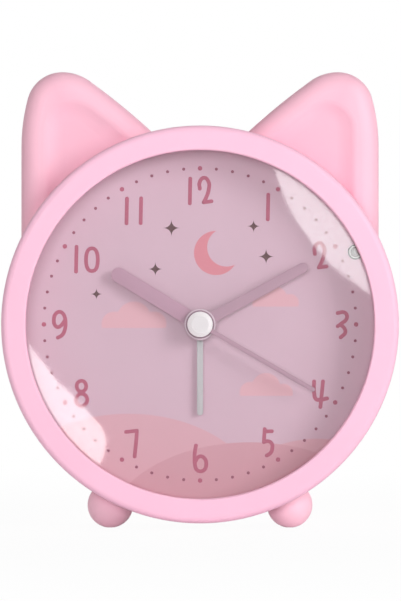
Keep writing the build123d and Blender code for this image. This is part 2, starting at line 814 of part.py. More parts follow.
with BuildPart() as minute_wheel:
    gear(minute_teeth, minute_module, minute_layer, motion_distance, 0, minute_phase)
    gear(minute_pinion_teeth, hour_module, hour_layer, motion_distance, 0)
    pinion_root = hour_module * (minute_pinion_teeth / 2 - dedendum)
    rod(pinion_root, hour_layer, minute_layer, motion_distance)
    stud_hole = stud_radius + running_gap
    rod(stud_hole, hour_layer, minute_layer + wheel_thickness, motion_distance, 0, Mode.SUBTRACT)
write(minute_wheel.part, "minute_wheel")

with BuildPart() as hour_wheel:
    gear(hour_teeth, hour_module, hour_layer, phase=hour_phase)
    rod(hour_pipe, hour_hand_front - pipe_proud, hour_layer + wheel_thickness)
    rod(hour_bore, hour_hand_front - pipe_proud, hour_layer + wheel_thickness, mode=Mode.SUBTRACT)
write(hour_wheel.part, "hour_wheel")

with BuildPart() as alarm_wheel:
    gear(alarm_teeth, alarm_module, alarm_layer)
    rod(alarm_pipe, alarm_hand_front - pipe_proud, alarm_layer + wheel_thickness)
    rod(alarm_bore, alarm_hand_front - pipe_proud, alarm_layer + wheel_thickness, mode=Mode.SUBTRACT)
write(alarm_wheel.part, "alarm_wheel")

# Setting arbors, from their pivots in the movement to the knobs behind the case
shaft_end = knob_front + knob_socket
with BuildPart() as time_arbor:
    gear(knob_pinion_teeth, minute_module, minute_layer, knob_across, 0, knob_phase)
    rod(shaft_radius, mid_plate_front, shaft_end, knob_across)
write(time_arbor.part, "time_arbor")

with BuildPart() as alarm_arbor:
    gear(knob_pinion_teeth, alarm_module, alarm_layer, -knob_across, 0, alarm_knob_phase)
    rod(shaft_radius, pivot_front + running_gap, shaft_end, -knob_across)
write(alarm_arbor.part, "alarm_arbor")

for name, radius, across in (
    ("time_knob", time_knob_radius, knob_across),
    ("alarm_knob", alarm_knob_radius, -knob_across),
):
    with BuildPart() as knob:
        rod(radius, knob_front, knob_back, across)
        chamfer(knob.edges().group_by(Axis.Y)[-1], length=knob_edge)
        with BuildSketch(facing(knob_front, across)):
            with PolarLocations(radius, knob_flutes):
                Circle(flute_radius)
        extrude(amount=-knob_length, mode=Mode.SUBTRACT)
        rod(shaft_radius + touch_gap, knob_front, shaft_end + touch_gap, across, 0, Mode.SUBTRACT)
    write(knob.part, name)

# Stepping motor: stator plate, core, bobbin and winding
with BuildPart() as stator:
    body_middle = stator_foot + stator_body_height / 2
    stator_back = stator_front + stator_thickness
    block(2 * stator_half_width, stator_body_height, stator_front, stator_back, 0, body_middle)
    for side in (-1, 1):
        arm_middle = stator_foot + stator_body_height + stator_arm_length / 2
        block(stator_arm_width, stator_arm_length, stator_front, stator_back, side * arm_across, arm_middle)
    rod(rotor_radius + rotor_air, stator_front, stator_back, 0, rotor_rise, Mode.SUBTRACT)
write(stator.part, "stator")

core_rise = stator_foot + stator_body_height + stator_arm_length - core_width / 2
core_depth = stator_back + stator_thickness / 2
with BuildPart() as coil_core:
    block(2 * stator_half_width, core_width, stator_back, stator_back + stator_thickness, 0, core_rise)
write(coil_core.part, "coil_core")

coil_plane = Plane(origin=(0, front_y + core_depth, centre_height + core_rise), z_dir=(1, 0, 0))
with BuildPart() as coil_bobbin:
    with Locations(coil_plane):
        Cylinder(bobbin_tube, 2 * bobbin_half)
    for side in (-1, 1):
        with Locations(coil_plane.offset(side * (bobbin_half - bobbin_flange / 2))):
            Cylinder(coil_radius, bobbin_flange)
    window = core_width + 2 * touch_gap
    block(
        2 * bobbin_half,
        window,
        stator_back - touch_gap,
        stator_back + stator_thickness + touch_gap,
        0,
        core_rise,
        Mode.SUBTRACT,
    )
write(coil_bobbin.part, "coil_bobbin")

with BuildPart() as coil_winding:
    with Locations(coil_plane):
        winding_length = 2 * (bobbin_half - bobbin_flange - touch_gap)
        Cylinder(coil_radius, winding_length)
        Cylinder(bobbin_tube + touch_gap, winding_length, mode=Mode.SUBTRACT)
write(coil_winding.part, "coil_winding")

# Circuit board with its chip and crystal
board_back = stator_front + board_thickness
with BuildPart() as circuit_board:
    block(2 * board_half_width, board_height, stator_front, board_back, 0, board_rise)
write(circuit_board.part, "circuit_board")

with BuildPart() as controller_chip:
    block(chip_size, chip_size, board_back, board_back + chip_height, -chip_offset, board_rise)
write(controller_chip.part, "controller_chip")

with BuildPart() as quartz_crystal:
    crystal_depth = board_back + crystal_radius + touch_gap
    crystal_origin = level(board_rise, crystal_depth, crystal_offset).origin
    with Locations(Plane(crystal_origin, z_dir=(1, 0, 0))):
        Cylinder(crystal_radius, crystal_length)
write(quartz_crystal.part, "quartz_crystal")

# Battery, its two contacts and the door
battery_plane = Plane(level(-bay_drop, battery_depth).origin, z_dir=(1, 0, 0))
with BuildPart() as battery:
    with Locations(battery_plane.offset(-nub_length / 2)):
        Cylinder(battery_radius, battery_length - nub_length)
    with Locations(battery_plane.offset(battery_length / 2 - nub_length)):
        Cylinder(nub_radius, nub_length, align=(Align.CENTER, Align.CENTER, Align.MIN))
write(battery.part, "aa_battery")

# Each contact has a tail through the bay's floor, a strip along the cover and a tail down to the board
strip_front = movement_back + (stack_gap - contact_thickness) / 2
strip_back = strip_front + contact_thickness
strip_width = abs(tail_across - board_tail_across) + contact_thickness
strip_height = abs(tail_rise - board_rise) + tail_width
strip_across = (tail_across + board_tail_across) / 2
strip_rise = (tail_rise + board_rise) / 2
for name, side in (("battery_contact_positive", 1), ("battery_contact_negative", -1)):
    with BuildPart() as contact:
        plate_back = bay_floor_back + contact_height
        block(contact_thickness, contact_width, bay_floor_back, plate_back, side * tail_across, -bay_drop)
        block(contact_thickness, tail_width, strip_front, bay_floor_back, side * tail_across, tail_rise)
        block(strip_width, strip_height, strip_front, strip_back, side * strip_across, strip_rise)
        block(contact_thickness, tail_width, board_back, strip_back, side * board_tail_across, board_rise)
        bump_length = contact_room - contact_thickness - contact_gap
        bump_middle = battery_length / 2 + contact_gap + bump_length / 2
        with Locations(battery_plane.offset(side * bump_middle)):
            Cylinder(nub_radius, bump_length)
    write(contact.part, name)

with BuildPart() as battery_door:
    rounded_block(
        2 * door_half_length, 2 * door_half_height, door_corner, door_front, body_back, 0, -bay_drop
    )
    with BuildSketch(facing(body_back, 0, -bay_drop + door_half_height - thumb_inset)):
        SlotOverall(thumb_length, thumb_width)
    extrude(amount=thumb_depth, mode=Mode.SUBTRACT)
write(battery_door.part, "battery_door")

# Alarm switch behind the back panel
foot_back = panel_front - touch_gap
foot_front = foot_back - slider_foot_depth
with BuildPart() as alarm_switch_body:
    switch_front = panel_front - switch_depth
    block(switch_length, switch_height, switch_front, panel_front, switch_across, switch_rise)
    channel_length = slider_foot + switch_travel + 2 * fit_gap
    channel_height = slider_height + 2 * fit_gap
    channel_front = foot_front - touch_gap
    channel_place = (switch_across, switch_rise)
    block(channel_length, channel_height, channel_front, panel_front, *channel_place, Mode.SUBTRACT)
write(alarm_switch_body.part, "alarm_switch_body")

with BuildPart() as alarm_switch_slider:
    slider_across = switch_across - switch_travel / 2
    stem_height = slider_stem - 2 * fit_gap
    block(slider_foot, slider_height, foot_front, foot_back, slider_across, switch_rise)
    block(slider_stem, stem_height, foot_back, body_back + slider_proud, slider_across, switch_rise)
write(alarm_switch_slider.part, "alarm_switch_slider")

# Snooze and light button on top, over a push switch on its own board
plunger_top = board_top + tact_height + plunger_height
with BuildPart() as snooze_button:
    with BuildSketch(level(plunger_top, snooze_depth)):
        Rectangle(2 * (snooze_half_width + snooze_flange), 2 * (snooze_half_depth + snooze_flange))
    extrude(amount=snooze_flange_height)
    with BuildSketch(level(plunger_top, snooze_depth)):
        RectangleRounded(2 * snooze_half_width, 2 * snooze_half_depth, snooze_corner - fit_gap)
    extrude(amount=body_radius + snooze_proud - plunger_top)
    fillet(snooze_button.edges().group_by(Axis.Z)[-1], radius=snooze_round)
write(snooze_button.part, "snooze_button")

with BuildPart() as tact_plunger:
    with BuildSketch(level(plunger_top, snooze_depth)):
        Circle(plunger_radius)
    extrude(amount=-plunger_height - plunger_depth)
write(tact_plunger.part, "tact_plunger")

with BuildPart() as tact_switch:
    with BuildSketch(level(board_top, snooze_depth)):
        Rectangle(tact_size, tact_size)
    extrude(amount=tact_height)
    with BuildSketch(level(board_top + tact_height, snooze_depth)):
        Circle(plunger_radius + running_gap)
    extrude(amount=-plunger_depth - snooze_travel - running_gap, mode=Mode.SUBTRACT)
write(tact_switch.part, "tact_switch")

light_board_front = snooze_depth - light_board_reach
light_board_back = rounding_front
with BuildPart() as light_board:
    middle = (light_board_front + light_board_back) / 2
    with BuildSketch(level(board_top, middle)):
        Rectangle(2 * light_board_half_width, light_board_back - light_board_front)
    extrude(amount=-board_thickness)
write(light_board.part, "light_board")

# Buzzer inside the sound slots
with BuildPart() as buzzer:
    rod(buzzer_radius, panel_front - buzzer_height, panel_front, 0, buzzer_rise)
write(buzzer.part, "buzzer")


def ring_point(angle, depth):
    return level(lead_ring * sin(radians(angle)), depth, lead_ring * cos(radians(angle))).origin


def ring_heading(angle, turn):
    return Vector(-sin(radians(angle)) * turn, 0, cos(radians(angle)) * turn)


# Lamp lead: round the inside of the tub to the light board
backward = Vector(0, 1, 0)
lead_rise = board_top + lead_radius + touch_gap
lamp_end_angle = degrees(atan2(lead_rise, sqrt(lead_ring**2 - lead_rise**2)))
lamp_lead_depth = lamp_back + lead_radius + touch_gap
board_landing = light_board_front + lead_overlap
bend_angle = lamp_end_angle - degrees(lead_bend / lead_ring)
with BuildPart() as lamp_lead:
    with BuildLine() as route:
        start = ring_point(lamp_angle, lamp_lead_depth)
        halfway = ring_point((lamp_angle + bend_angle) / 2, lamp_lead_depth)
        arc = ThreePointArc(start, halfway, ring_point(bend_angle, lamp_lead_depth))
        corner = arc @ 1 + (arc % 1) * lead_bend + backward * lead_bend
        bend = TangentArc(arc @ 1, corner, tangent=arc % 1)
        Line(bend @ 1, bend @ 1 + backward * (board_landing - lamp_lead_depth - lead_bend))
    with BuildSketch(Plane(start, z_dir=ring_heading(lamp_angle, 1))):
        Circle(lead_radius)
    sweep(path=route.wires()[0])
write(lamp_lead.part, "lamp_lead")

# Supply lead: from the light board round the other side and into the movement
supply_depth = wire_depth
supply_bend_angle = 180 - bend_angle
with BuildPart() as supply_lead:
    with BuildLine() as route:
        arc_start = ring_point(supply_bend_angle, supply_depth)
        arc_heading = ring_heading(supply_bend_angle, 1)
        corner = arc_start - arc_heading * lead_bend + backward * lead_bend
        start = corner + backward * (board_landing - supply_depth - lead_bend)
        entry = Line(start, corner)
        bend = TangentArc(corner, arc_start, tangent=entry % 1)
        halfway = ring_point((supply_bend_angle + 180) / 2, supply_depth)
        arc = ThreePointArc(arc_start, halfway, ring_point(180, supply_depth))
        fall = Line(arc @ 1, level(board_rise + lead_sweep, supply_depth, -lead_ring).origin)
        sweep_end = level(board_rise, supply_depth, lead_sweep - lead_ring).origin
        turn_in = TangentArc(fall @ 1, sweep_end, tangent=fall % 1)
        Line(turn_in @ 1, level(board_rise, supply_depth, -board_half_width - fit_gap).origin)
    with BuildSketch(Plane(start, z_dir=-backward)):
        Circle(lead_radius)
    sweep(path=route.wires()[0])
write(supply_lead.part, "supply_lead")

# Straight lead pairs from the buzzer and the switch to the movement
for name, across, rise, back in (
    ("buzzer_lead", 0, buzzer_rise - buzzer_radius / 2, panel_front - buzzer_height),
    ("switch_lead", switch_across, switch_rise, switch_front),
):
    with BuildPart() as pair:
        for side in (-1, 1):
            rod(lead_radius, movement_back, back, across + side * lead_pair / 2, rise)
    write(pair.part, name)

# Screws with a slot across the head
with BuildPart() as case_screws:
    for across in (-screw_across, screw_across):
        for rise in (-screw_rise, screw_rise):
            seat = parting_depth + screw_seat
            head_back = seat + screw_head_height
            rod(screw_radius, parting_depth - screw_bite, seat, across, rise)
            rod(screw_head_radius, seat, head_back, across, rise)
            slot_front = head_back - slot_cut_depth
            block(2 * screw_head_radius, slot_cut_width, slot_front, head_back, across, rise, Mode.SUBTRACT)
write(case_screws.part, "case_screws")

with BuildPart() as movement_screws:
    for side in (-1, 1):
        head_back = movement_split + movement_head_height
        across = side * lug_across
        bite_front = movement_split - lug_thickness - movement_screw_bite
        rod(movement_screw_radius, bite_front, movement_split, across)
        rod(movement_head_radius, movement_split, head_back, across)
        slot_front = head_back - slot_cut_depth
        block(2 * movement_head_radius, slot_cut_width, slot_front, head_back, across, 0, Mode.SUBTRACT)
write(movement_screws.part, "movement_screws")
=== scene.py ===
import json

import bmesh
import bpy
from math import cos, pi, radians, sin
from mathutils import Matrix, Vector


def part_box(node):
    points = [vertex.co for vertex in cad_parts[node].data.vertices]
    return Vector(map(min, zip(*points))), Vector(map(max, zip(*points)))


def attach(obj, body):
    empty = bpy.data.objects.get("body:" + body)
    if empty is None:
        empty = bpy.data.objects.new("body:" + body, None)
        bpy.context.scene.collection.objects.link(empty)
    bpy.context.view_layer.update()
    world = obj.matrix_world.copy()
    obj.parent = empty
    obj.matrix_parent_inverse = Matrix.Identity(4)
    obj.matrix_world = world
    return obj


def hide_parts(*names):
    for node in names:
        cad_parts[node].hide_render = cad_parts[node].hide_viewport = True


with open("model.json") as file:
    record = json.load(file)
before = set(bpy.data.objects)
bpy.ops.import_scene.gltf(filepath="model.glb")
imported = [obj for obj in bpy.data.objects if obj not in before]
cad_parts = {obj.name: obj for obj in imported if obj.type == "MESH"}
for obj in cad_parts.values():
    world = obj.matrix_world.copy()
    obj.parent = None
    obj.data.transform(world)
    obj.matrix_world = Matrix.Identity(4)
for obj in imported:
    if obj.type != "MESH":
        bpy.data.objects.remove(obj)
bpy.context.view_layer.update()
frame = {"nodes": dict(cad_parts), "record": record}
nodes = frame["nodes"]
slotOf = {part["node"]: part["material_slot"] for part in frame["record"]["subparts"]}

mm = 0.001
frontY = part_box("bezel")[0].y  # front of the bezel
axisZ = 57 * mm  # height of the dial's middle
print("frame loaded:", len(nodes), "nodes")


def spot(across, depth, rise):
    return Vector((across * mm, frontY + depth * mm, axisZ + rise * mm))


def tint(red, green, blue):
    parts = []
    for value in (red, green, blue):
        share = value / 255
        parts.append(share / 12.92 if share <= 0.04045 else ((share + 0.055) / 1.055) ** 2.4)
    return (*parts, 1.0)


class Wire:
    # one socket, so that shader maths can be written as an expression
    def __init__(self, recipe, socket):
        self.recipe = recipe
        self.socket = socket

    def maths(self, operation, *values):
        inputs = dict(enumerate(values))
        return self.recipe.step("ShaderNodeMath", {"operation": operation}, inputs)

    def __add__(self, other):
        return self.maths("ADD", self, other)

    def __radd__(self, other):
        return self.maths("ADD", other, self)

    def __sub__(self, other):
        return self.maths("SUBTRACT", self, other)

    def __rsub__(self, other):
        return self.maths("SUBTRACT", other, self)

    def __mul__(self, other):
        return self.maths("MULTIPLY", self, other)

    def __rmul__(self, other):
        return self.maths("MULTIPLY", other, self)

    def __truediv__(self, other):
        return self.maths("DIVIDE", self, other)

    def __rtruediv__(self, other):
        return self.maths("DIVIDE", other, self)

    def __pow__(self, other):
        return self.maths("POWER", self, other)

    def __abs__(self):
        return self.maths("ABSOLUTE", self)

    def least(self, other):
        return self.maths("MINIMUM", self, other)

    def most(self, other):
        return self.maths("MAXIMUM", self, other)

    def held(self):
        return self.least(1.0).most(0.0)

    def wave(self):
        return self.maths("SINE", self)


class Recipe:
    # a material, or the world, and the steps that make it
    def __init__(self, name, owner=None):
        self.owner = owner or bpy.data.materials.new(name)
        self.owner.use_nodes = True
        self.tree = self.owner.node_tree
        self.tree.nodes.clear()

    def step(self, kind, settings=None, inputs=None, out=0):
        node = self.tree.nodes.new(kind)
        for key, value in (settings or {}).items():
            if key == "stops":
                ramp = node.color_ramp
                while len(ramp.elements) < len(value):
                    ramp.elements.new(0.5)
                for element, (place, colour) in zip(ramp.elements, value):
                    element.position = place
                    element.color = colour
            else:
                setattr(node, key, value)
        for key, value in (inputs or {}).items():
            if isinstance(value, Wire):
                self.tree.links.new(value.socket, node.inputs[key])
            else:
                node.inputs[key].default_value = value
        return Wire(self, node.outputs[out])

    def place(self):
        # millimetres about the clock's own axis: across, depth behind the bezel's front, rise
        coords = self.step("ShaderNodeTexCoord", out="Object")
        shift = {"Vector": coords, "Location": (0, -frontY / mm, -axisZ / mm), "Scale": (1 / mm,) * 3}
        return self.step("ShaderNodeMapping", {}, shift)

    def axes(self, place):
        split = self.step("ShaderNodeSeparateXYZ", {}, {0: place})
        return [Wire(self, output) for output in split.socket.node.outputs]

    def noise(self, place, scale, detail=2.0, stretch=None):
        if stretch:
            place = self.step("ShaderNodeMapping", {}, {"Vector": place, "Scale": stretch})
        return self.step("ShaderNodeTexNoise", {}, {"Vector": place, "Scale": scale, "Detail": detail})

    def blend(self, factor, first, second):
        return self.step("ShaderNodeMix", {"data_type": "RGBA"}, {0: factor, 6: first, 7: second}, 2)

    def bump(self, height, strength, distance=0.0001):
        inputs = {"Height": height, "Strength": strength, "Distance": distance}
        return self.step("ShaderNodeBump", {}, inputs)

    def principled(self, inputs):
        return self.step("ShaderNodeBsdfPrincipled", {}, inputs)

    def done(self, surface, kind="ShaderNodeOutputMaterial"):
        end = self.tree.nodes.new(kind)
        self.tree.links.new(surface.socket, end.inputs["Surface"])
        return self.owner


def ringGap(across, rise, middle, radius):
    return ((across - middle[0]) ** 2 + (rise - middle[1]) ** 2) ** 0.5 - radius  # below 0 inside


def ovalGap(across, rise, middle, reach):
    share = ((across - middle[0]) / reach[0]) ** 2 + ((rise - middle[1]) / reach[1]) ** 2
    return (share ** 0.5 - 1) * min(reach)  # below 0 inside


def inside(gap, soft=0.08):
    return (0.5 - gap / soft).held()  # 1 where the gap is below 0


scene = bpy.context.scene
scene.view_settings.view_transform = "Standard"

# camera, square to the dial and level with its middle
view = {"distance": 0.900, "lens": 195.4, "sensor": 36.0, "shiftX": 0.0008, "shiftY": 0.0398}
cameraData = bpy.data.cameras.new("camera")
cameraData.sensor_fit = "VERTICAL"
cameraData.sensor_height = view["sensor"]
cameraData.lens = view["lens"]
cameraData.shift_x = view["shiftX"]
cameraData.shift_y = view["shiftY"]
camera = bpy.data.objects.new("camera", cameraData)
camera.location = (0, frontY - view["distance"], axisZ)
camera.rotation_euler = (radians(90), 0, 0)
scene.collection.objects.link(camera)
scene.camera = camera
print("camera set")


# moulded plastic: uneven dye, fine mould grain and a little wear in the gloss
def mouldedPlastic(name, look, extra=None):
    recipe = Recipe(name)
    place = recipe.place()
    dye = recipe.noise(place, look["dyeScale"], 3.0)
    grain = recipe.noise(place, look["grainScale"], 2.0)
    colour = recipe.blend(dye, look["colour"], look["shade"])
    height = grain
    if extra:
        colour, height = extra(recipe, place, colour, height)
    rough = look["rough"] + (dye - 0.5) * look["roughSpread"] + (grain - 0.5) * 0.06
    inputs = {
        "Base Color": colour,
        "Roughness": rough,
        "Normal": recipe.bump(height, look["grain"]),
        "Specular IOR Level": look["gloss"],
        "Coat Weight": look.get("coat", 0.0),
        "Coat Roughness": 0.2,
    }
    return recipe.done(recipe.principled(inputs))


pinkLook = {
    "colour": tint(251, 199, 221),
    "shade": tint(247, 193, 216),
    "dyeScale": 0.05,
    "grainScale": 3.5,
    "grain": 0.05,
    "rough": 0.5,
    "roughSpread": 0.12,
    "gloss": 0.3,
    # painted shade: darker, deeper pink on the ears near the ring and in their hollows
    "ringShade": tint(250, 176, 197),
    "ringShadeFrom": 54.0,
    "ringShadeTo": 62.0,
    "ringShadeBack": 18.0,
    "ringShadeShare": 0.35,
    "hollowShade": tint(243, 184, 203),
    "hollowSide": 41.8,
    "hollowSlope": (-0.643, 0.766, 25.7),
    "hollowSoft": 5.0,
    "hollowShadeShare": 0.7,
    "seam": 22.0,
    "seamWidth": 0.14,
    "seamColour": tint(190, 138, 158),
    "seamShare": 0.55,
    "seamDepth": 3,
}


def earShadeAndSeam(recipe, place, colour, height):
    # painted shade: the ears are darker and deeper in colour near the ring, where shade falls between ear
    # and ring, and in their hollows
    across, depth, rise = recipe.axes(place)
    reach = (across ** 2 + rise ** 2) ** 0.5
    ringShadeMask = ((pinkLook["ringShadeTo"] - reach) / (pinkLook["ringShadeTo"] - pinkLook["ringShadeFrom"])).held()
    onEar = (reach - pinkLook["ringShadeFrom"]).held() * (pinkLook["ringShadeBack"] - depth).held()
    colour = recipe.blend(ringShadeMask * onEar * pinkLook["ringShadeShare"], colour, pinkLook["ringShade"])
    # painted shade: the ear hollows are darker where the recess lies in shade
    aside, up, limit = pinkLook["hollowSlope"]
    slopeGap = abs(across) * aside + rise * up - limit
    hollowShade = inside(slopeGap.most(abs(across) - pinkLook["hollowSide"]), pinkLook["hollowSoft"])
    colour = recipe.blend(hollowShade * onEar * pinkLook["hollowShadeShare"], colour, pinkLook["hollowShade"])
    # the case halves meet in a fine seam
    seam = (1 - abs(depth - pinkLook["seam"]) / pinkLook["seamWidth"]).held()
    colour = recipe.blend(seam * pinkLook["seamShare"], colour, pinkLook["seamColour"])
    return colour, height - seam * pinkLook["seamDepth"]


# dial card: numbers apart, its print is low hills, small clouds, a crescent and stars
dialLook = {
    "card": tint(210, 180, 195),
    "cardDeep": tint(205, 174, 189),
    "hillFar": tint(213, 166, 178),
    "hillNear": tint(205, 154, 166),
    "cloud": tint(220, 173, 183),
    "moon": tint(214, 134, 147),
    "star": tint(88, 54, 58),
    "hillsFar": [((-20, -52), (38, 27)), ((33, -58), (30, 26))],
    "hillsNear": [((14, -58), (40, 25))],
    "clouds": [
        (-1.0, [((-24.0, 0.0), 3.6), ((-18.5, 1.6), 4.8), ((-12.8, 0.2), 3.4)]),
        (-20.0, [((14.0, -19.0), 2.9), ((18.5, -17.6), 4.0), ((23.4, -19.2), 2.6)]),
        (5.0, [((17.0, 6.0), 2.4), ((21.0, 7.2), 3.4), ((25.2, 6.0), 2.5)]),
    ],
    "moonDisc": ((4.5, 20.0), 6.2),
    "moonCut": ((7.4, 21.6), 5.4),
    "stars": [
        ((-8.0, 27.0), 2.6), ((15.0, 27.5), 2.0), ((-12.5, 15.5), 2.2),
        ((18.5, 19.0), 2.4), ((-29.0, 8.5), 1.8),
    ],
}


def printedCard():
    recipe = Recipe("printedCard")
    place = recipe.place()
    across, _, rise = recipe.axes(place)
    fibre = recipe.noise(place, 1.6, 4.0)
    colour = recipe.blend(recipe.noise(place, 0.06, 2.0), dialLook["card"], dialLook["cardDeep"])
    for hills, shade in (("hillsFar", "hillFar"), ("hillsNear", "hillNear")):
        for middle, reach in dialLook[hills]:
            colour = recipe.blend(inside(ovalGap(across, rise, middle, reach)), colour, dialLook[shade])
    for base, puffs in dialLook["clouds"]:
        gap = None
        for middle, radius in puffs:
            puff = ringGap(across, rise, middle, radius)
            gap = puff if gap is None else gap.least(puff)
        colour = recipe.blend(inside(gap.most(base - rise)), colour, dialLook["cloud"])
    disc = ringGap(across, rise, *dialLook["moonDisc"])
    cut = ringGap(across, rise, *dialLook["moonCut"])
    colour = recipe.blend(inside(disc.most(0 - cut)), colour, dialLook["moon"])
    for middle, size in dialLook["stars"]:
        # four soft points
        gap = (abs(across - middle[0]) ** 0.5 + abs(rise - middle[1]) ** 0.5) ** 2 - size
        colour = recipe.blend(inside(gap, 0.12), colour, dialLook["star"])
    inputs = {
        "Base Color": colour,
        "Roughness": 0.62 + (fibre - 0.5) * 0.2,
        "Normal": recipe.bump(fibre, 0.04),
        "Specular IOR Level": 0.25,
    }
    return recipe.done(recipe.principled(inputs))


# clear dome: what it doesn't reflect passes straight through
domeLook = {"faceOn": 0.04, "rough": 0.02, "smear": 0.02, "smearScale": 0.09}


def clearDome():
    recipe = Recipe("clearDome")
    smear = recipe.noise(recipe.place(), domeLook["smearScale"], 2.0)
    edgeOn = recipe.step("ShaderNodeLayerWeight", {}, {"Blend": 0.5}, "Facing")
    # the same from both sides, so slanting light still reaches the dial
    mirror = domeLook["faceOn"] + (1 - domeLook["faceOn"]) * edgeOn ** 5
    see = recipe.step("ShaderNodeBsdfTransparent", {}, {"Color": (1.0, 1.0, 1.0, 1.0)})
    rough = domeLook["rough"] + smear * domeLook["smear"]
    gloss = recipe.step("ShaderNodeBsdfGlossy", {}, {"Roughness": rough})
    return recipe.done(recipe.step("ShaderNodeMixShader", {}, {0: mirror, 1: see, 2: gloss}))


# metal with fine draw marks along one way
def drawnMetal(name, look):
    recipe = Recipe(name)
    place = recipe.place()
    marks = recipe.noise(place, 2.0, 3.0, look["stretch"])
    stain = recipe.noise(place, 0.2, 2.0)
    inputs = {
        "Base Color": recipe.blend(stain, look["colour"], look["shade"]),
        "Metallic": look["metal"],
        "Roughness": look["rough"] + (marks - 0.5) * 0.25,
        "Normal": recipe.bump(marks, 0.08),
    }
    return recipe.done(recipe.principled(inputs))


# enamelled wire, wound in layers along the bobbin
wireLook = {"colour": tint(196, 112, 70), "shade": tint(158, 82, 46), "pitch": 28, "metal": 0.8}


def woundWire():
    recipe = Recipe("woundWire")
    place = recipe.place()
    across = recipe.axes(place)[0]
    turns = (across * wireLook["pitch"]).wave()
    layer = recipe.noise(place, 0.8, 2.0)
    inputs = {
        "Base Color": recipe.blend(layer, wireLook["colour"], wireLook["shade"]),
        "Metallic": wireLook["metal"],
        "Roughness": 0.32 + layer * 0.2,
        "Normal": recipe.bump(turns * 0.5 + layer, 0.5),
    }
    return recipe.done(recipe.principled(inputs))


# green board with paler tracks under the lacquer
boardLook = {
    "colour": tint(28, 84, 52),
    "shade": tint(20, 66, 42),
    "track": tint(62, 128, 80),
    "trackShare": 0.7,
    "trackPitch": 2.2,
    "wander": 3,
}


def boardLacquer():
    recipe = Recipe("boardLacquer")
    place = recipe.place()
    across, _, rise = recipe.axes(place)
    wander = recipe.noise(place, 0.25, 1.0)
    tracks = ((across + rise + wander * boardLook["wander"]) * boardLook["trackPitch"]).wave()
    weave = recipe.noise(place, 3.0, 2.0)
    colour = recipe.blend(weave, boardLook["colour"], boardLook["shade"])
    copper = (tracks * 4 - 2.6).held() * boardLook["trackShare"]  # only the crests of the waves
    colour = recipe.blend(copper, colour, boardLook["track"])
    inputs = {
        "Base Color": colour,
        "Roughness": 0.3 + weave * 0.12,
        "Normal": recipe.bump(tracks, 0.15),
    }
    return recipe.done(recipe.principled(inputs))


# battery sleeve in two plain bands, bare metal at its ends
sleeveLook = {
    "colour": tint(98, 128, 112),
    "band": tint(214, 210, 200),
    "bandFrom": 9.0,
    "bare": tint(196, 196, 192),
    "bareFrom": 23.9,
    "scuff": tint(120, 118, 114),
    "scuffShare": 0.15,
}


def batterySleeve():
    recipe = Recipe("batterySleeve")
    place = recipe.place()
    across = recipe.axes(place)[0]
    scuff = recipe.noise(place, 1.2, 3.0)
    band = (across - sleeveLook["bandFrom"]).held()
    bare = (abs(across) - sleeveLook["bareFrom"]).held()
    colour = recipe.blend(band, sleeveLook["colour"], sleeveLook["band"])
    colour = recipe.blend(bare, colour, sleeveLook["bare"])
    inputs = {
        "Base Color": recipe.blend(scuff * sleeveLook["scuffShare"], colour, sleeveLook["scuff"]),
        "Metallic": 0.35 + bare * 0.6,
        "Roughness": 0.28 + (scuff - 0.5) * 0.2,
    }
    return recipe.done(recipe.principled(inputs))


# night light lamp: pale, with a dark ring inside it
lampLook = {
    "middle": (43.5, 20.28),
    "glass": tint(226, 233, 227),
    "rings": [(1.4, tint(12, 18, 14)), (1.12, tint(128, 138, 132))],
    "sleeve": 1.74,
    "sleeveColour": tint(226, 233, 227),
}


def lampGlass():
    recipe = Recipe("lampGlass")
    place = recipe.place()
    across, _, rise = recipe.axes(place)
    colour = lampLook["glass"]
    for radius, shade in lampLook["rings"]:
        disc = inside(ringGap(across, rise, lampLook["middle"], radius), 0.12)
        colour = recipe.blend(disc, colour, shade)
    haze = recipe.noise(place, 1.5, 2.0)
    inputs = {
        "Base Color": colour,
        "Roughness": 0.12 + haze * 0.1,
        "Coat Weight": 1.0,
        "Coat Roughness": 0.05,
    }
    return recipe.done(recipe.principled(inputs))


def holderRim(recipe, place, colour, height):
    # the holder is pale next to the lamp, and dark round its rim
    across, _, rise = recipe.axes(place)
    sleeve = inside(ringGap(across, rise, lampLook["middle"], lampLook["sleeve"]), 0.1)
    return recipe.blend(sleeve, colour, lampLook["sleeveColour"]), height


# one plain plastic or paint, for mouldedPlastic
def plain(colour, shade, rough, gloss, grain, coat=0.0):
    return {
        "colour": tint(*colour),
        "shade": tint(*shade),
        "dyeScale": 0.12,
        "grainScale": 4.0,
        "grain": grain,
        "rough": rough,
        "roughSpread": 0.15,
        "gloss": gloss,
        "coat": coat,
    }


# hub cap: radii, and depths behind the bezel's front
capLook = {
    "flat": 2.35,
    "rim": 3.42,
    "radius": 3.55,
    "front": 4.6,
    "slopeBack": 5.25,
    "sideFront": 5.45,
    "back": 6.8,
    "steps": 64,
    # painted shade on the flat middle
    "flatShadeColour": tint(222, 218, 220),
}


def capFlatShade(recipe, place, colour, height):
    # painted shade: the flat middle is painted a little greyer than the sloped rim
    across, _, rise = recipe.axes(place)
    flatShade = inside(ringGap(across, rise, (0, 0), capLook["flat"]), 0.25)
    return recipe.blend(flatShade, colour, capLook["flatShadeColour"]), height


steelLook = {
    "colour": tint(198, 198, 196),
    "shade": tint(176, 175, 172),
    "metal": 1.0,
    "rough": 0.32,
    "stretch": (0.2, 3, 3),
}
magnetLook = {
    "colour": tint(66, 64, 64),
    "shade": tint(48, 46, 46),
    "metal": 0.7,
    "rough": 0.5,
    "stretch": (1, 0.2, 1),
}
capPaint = plain((243, 241, 242), (238, 236, 237), 0.3, 0.5, 0.02, 0.4)
holderPaint = plain((26, 32, 28), (20, 26, 22), 0.5, 0.4, 0.06)

